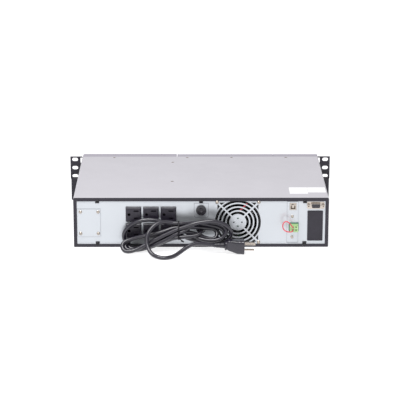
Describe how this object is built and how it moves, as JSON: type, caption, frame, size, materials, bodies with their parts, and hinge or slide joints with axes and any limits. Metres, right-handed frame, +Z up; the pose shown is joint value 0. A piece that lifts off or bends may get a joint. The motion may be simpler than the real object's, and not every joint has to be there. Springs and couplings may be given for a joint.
{
  "type": "rackmount ups",
  "caption": "Two-unit rackmount UPS with grounded outlets, grilled fan, signal ports, slotted ears, pull-out battery pack and a tied power cord.",
  "frame": {"origin": "under the middle of the object on its resting plane, halfway between the rear cord gland and the front buttons", "axes": "+Z up, +Y from the connector panel towards the front, +X to the right as seen from behind"},
  "size_m": [0.4826, 0.3735, 0.0881],
  "materials": {
    "aluminium": "extruded",
    "battery_case": "ABS",
    "black_paint": "black powder coat",
    "black_plastic": "fine-textured black plastic",
    "black_screw": "black zinc",
    "board": "solder-masked laminate",
    "capacitor": "sleeved can",
    "copper": "enamelled winding",
    "cord_pvc": "satin PVC jacket",
    "cover_paint": "fine satin powder coat, pale lavender grey",
    "fan_plastic": "glass-filled",
    "front_plastic": "light grey, spark-eroded texture",
    "green_dark": "moulded",
    "green_light": "moulded",
    "key_plastic": "semi-gloss",
    "label": "blank white polyester label",
    "nickel": "warm nickel plating",
    "outlet_plastic": "moulded black thermoplastic",
    "panel_zinc": "pale bluish grey satin sheet steel",
    "red_wire": "PVC insulation",
    "window": "clear pane",
    "zinc_steel": "zinc-plated sheet"
  },
  "bodies": {
    "chassis": {"base_tray": "black_paint", "breaker_body": "black_plastic", "breaker_nut": "black_plastic", "capacitors": "capacitor", "comm_plate": "panel_zinc", "comm_plate_screws": "nickel", "connector_cover_plate": "panel_zinc", "control_board": "board", "cord_gland": "black_plastic", "cord_hank": "cord_pvc", "cord_lead_in": "cord_pvc", "cord_lead_out": "cord_pvc", "cover_plate_screws": "nickel", "cover_screws": "nickel", "display_board": "board", "display_window": "window", "ear_screws": "black_screw", "fan_frame": "fan_plastic", "fan_leads": "red_wire", "fan_screws": "nickel", "frame_screws": "black_screw", "front_bezel": "front_plastic", "heat_sinks": "aluminium", "inductors": "copper", "main_board": "board", "outlet_1": "outlet_plastic", "outlet_2": "outlet_plastic", "outlet_3": "outlet_plastic", "outlet_4": "outlet_plastic", "outlet_5": "outlet_plastic", "outlet_6": "outlet_plastic", "plug_blades": "nickel", "plug_body": "cord_pvc", "rack_ear_left": "black_paint", "rack_ear_right": "black_paint", "rating_labels": "label", "rear_frame_lower": "black_paint", "rear_frame_upper": "black_paint", "rear_panel": "panel_zinc", "serial_insert": "black_plastic", "serial_jack_screws": "nickel", "serial_shell": "nickel", "slot_cover": "black_paint", "terminal_header": "green_dark", "top_cover": "cover_paint", "twist_tie": "black_plastic", "usb_port": "nickel"},
    "battery_pack": {"battery_tray": "zinc_steel", "battery_rear": "battery_case", "battery_front": "battery_case", "battery_leads": "red_wire"},
    "battery_door": {"battery_door": "front_plastic"},
    "fan_rotor": {"fan_rotor": "fan_plastic"},
    "breaker_button": {"breaker_button": "black_plastic"},
    "button_1": {"button_1": "key_plastic"},
    "button_2": {"button_2": "key_plastic"},
    "button_3": {"button_3": "key_plastic"},
    "button_4": {"button_4": "key_plastic"},
    "terminal_plug": {"terminal_plug": "green_light", "jumper_wire": "red_wire"}
  },
  "joints": [
    {"name": "battery_slide", "type": "slide", "parent": "chassis", "child": "battery_pack", "axis": [0, 1, 0], "range_m": [0, 0.2]},
    {"name": "door_pull", "type": "slide", "parent": "battery_pack", "child": "battery_door", "axis": [0, 1, 0], "range_m": [0, 0.06]},
    {"name": "fan_spin", "type": "hinge", "parent": "chassis", "child": "fan_rotor", "pos_m": [0.0631, -0.1218, 0.0442], "axis": [0, 1, 0], "continuous": true},
    {"name": "breaker_reset", "type": "slide", "parent": "chassis", "child": "breaker_button", "axis": [0, -1, 0], "range_m": [0, 0.003]},
    {"name": "button_1_press", "type": "slide", "parent": "chassis", "child": "button_1", "axis": [0, -1, 0], "range_m": [0, 0.0012], "stiffness_N_per_m": 300},
    {"name": "button_2_press", "type": "slide", "parent": "chassis", "child": "button_2", "axis": [0, -1, 0], "range_m": [0, 0.0012], "stiffness_N_per_m": 300},
    {"name": "button_3_press", "type": "slide", "parent": "chassis", "child": "button_3", "axis": [0, -1, 0], "range_m": [0, 0.0012], "stiffness_N_per_m": 300},
    {"name": "button_4_press", "type": "slide", "parent": "chassis", "child": "button_4", "axis": [0, -1, 0], "range_m": [0, 0.0012], "stiffness_N_per_m": 300},
    {"name": "terminal_pull", "type": "slide", "parent": "chassis", "child": "terminal_plug", "axis": [0, -1, 0], "range_m": [0, 0.012]}
  ]
}
